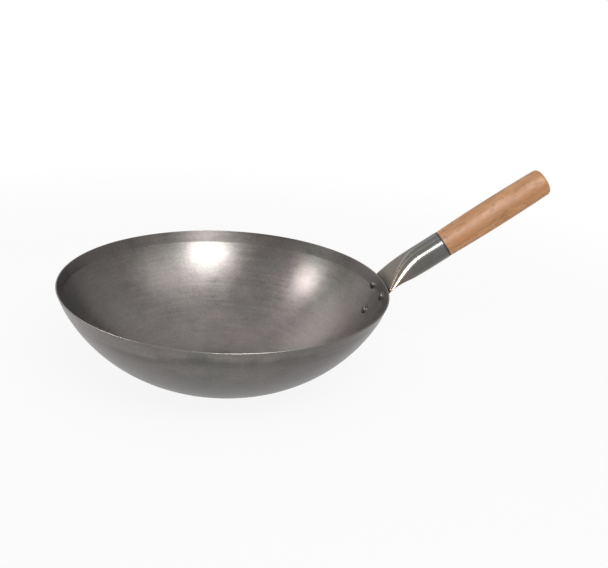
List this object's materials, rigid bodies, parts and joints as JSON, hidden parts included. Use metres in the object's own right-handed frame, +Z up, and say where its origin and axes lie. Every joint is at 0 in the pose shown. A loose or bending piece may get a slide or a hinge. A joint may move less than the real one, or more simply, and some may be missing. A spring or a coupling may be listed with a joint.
{
  "type": "carbon steel wok",
  "caption": "Round-walled steel wok with a small flat base, a straight band under the rim, and a riveted sheet socket handle that holds a turned wooden grip.",
  "frame": {"origin": "centre of the flat base's underside, on the surface that the wok stands on", "axes": "+Z up along the bowl's axis, +X from the bowl's axis towards the handle, +Y to the handle's left when looking along it from the bowl"},
  "size_m": [0.5352, 0.3554, 0.2329],
  "materials": {
    "bowl_steel": "satin grey carbon steel with fine circular brushing",
    "socket_steel": "semi-bright rolled steel with a faint warm oil tint",
    "rivet_steel": "plain steel, lightly polished",
    "grip_wood": "bare sanded beech"
  },
  "bodies": {
    "root": {"bowl": "bowl_steel", "handle_socket": "socket_steel", "wood_grip": "grip_wood", "grip_nail": "rivet_steel", "rivet_upper_left": "rivet_steel", "rivet_upper_right": "rivet_steel", "rivet_lower": "rivet_steel"}
  },
  "joints": []
}
